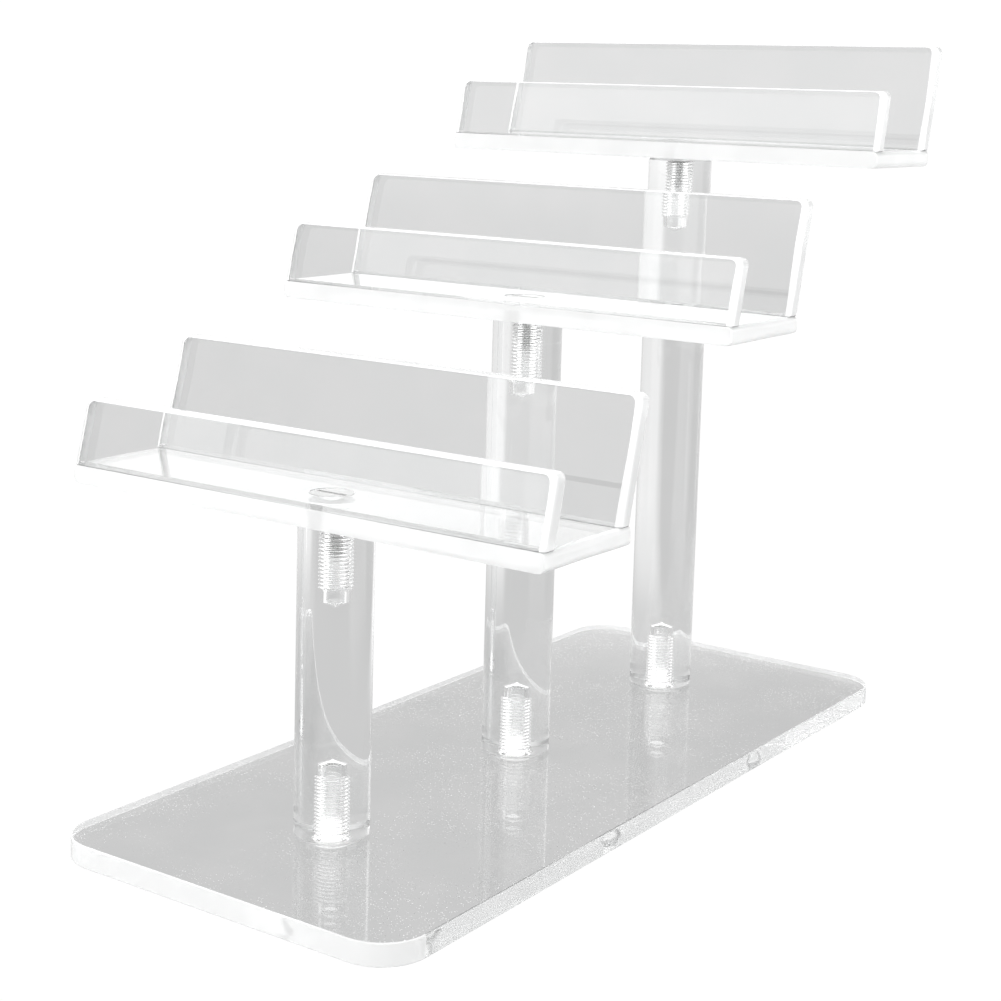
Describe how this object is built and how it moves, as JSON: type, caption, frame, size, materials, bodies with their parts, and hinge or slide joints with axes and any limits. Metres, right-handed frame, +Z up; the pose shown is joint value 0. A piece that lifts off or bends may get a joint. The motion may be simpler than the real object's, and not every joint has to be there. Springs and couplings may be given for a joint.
{
  "type": "nail polish rack",
  "caption": "Stepped clear acrylic counter rack: a flat base with rods of rising height, each carrying a swivelling channel tray with a low front lip and a taller back wall.",
  "frame": {"origin": "centre of the base plate's underside", "axes": "+Z up, -Y towards the low front of the rack, +X to the right along the trays when seen from the front"},
  "size_m": [0.152, 0.265, 0.2159],
  "materials": {
    "base": "clear cast acrylic plate, polished faces, saw-cut edges, fine dust",
    "rod": "clear acrylic round bar, polished",
    "sheet": "clear acrylic sheet, flame-polished edges, light smudges",
    "screw": "clear moulded plastic screw"
  },
  "bodies": {
    "root": {"base_plate": "base", "front_rod": "rod", "front_base_screw": "screw", "front_tray_screw": "screw", "middle_rod": "rod", "middle_base_screw": "screw", "middle_tray_screw": "screw", "rear_rod": "rod", "rear_base_screw": "screw", "rear_tray_screw": "screw"},
    "front_tray": {"front_tray_floor": "sheet", "front_tray_lip": "sheet", "front_tray_back_wall": "sheet"},
    "middle_tray": {"middle_tray_floor": "sheet", "middle_tray_lip": "sheet", "middle_tray_back_wall": "sheet"},
    "rear_tray": {"rear_tray_floor": "sheet", "rear_tray_lip": "sheet", "rear_tray_back_wall": "sheet"}
  },
  "joints": [
    {"name": "front_tray_swivel", "type": "hinge", "parent": "root", "child": "front_tray", "pos_m": [0, -0.0865, 0.09655], "axis": [0, 0, 1], "range_deg": [-60, 60]},
    {"name": "middle_tray_swivel", "type": "hinge", "parent": "root", "child": "middle_tray", "pos_m": [0, -0.002, 0.14055], "axis": [0, 0, 1], "range_deg": [-60, 60]},
    {"name": "rear_tray_swivel", "type": "hinge", "parent": "root", "child": "rear_tray", "pos_m": [0, 0.0825, 0.18455], "axis": [0, 0, 1], "continuous": true}
  ]
}
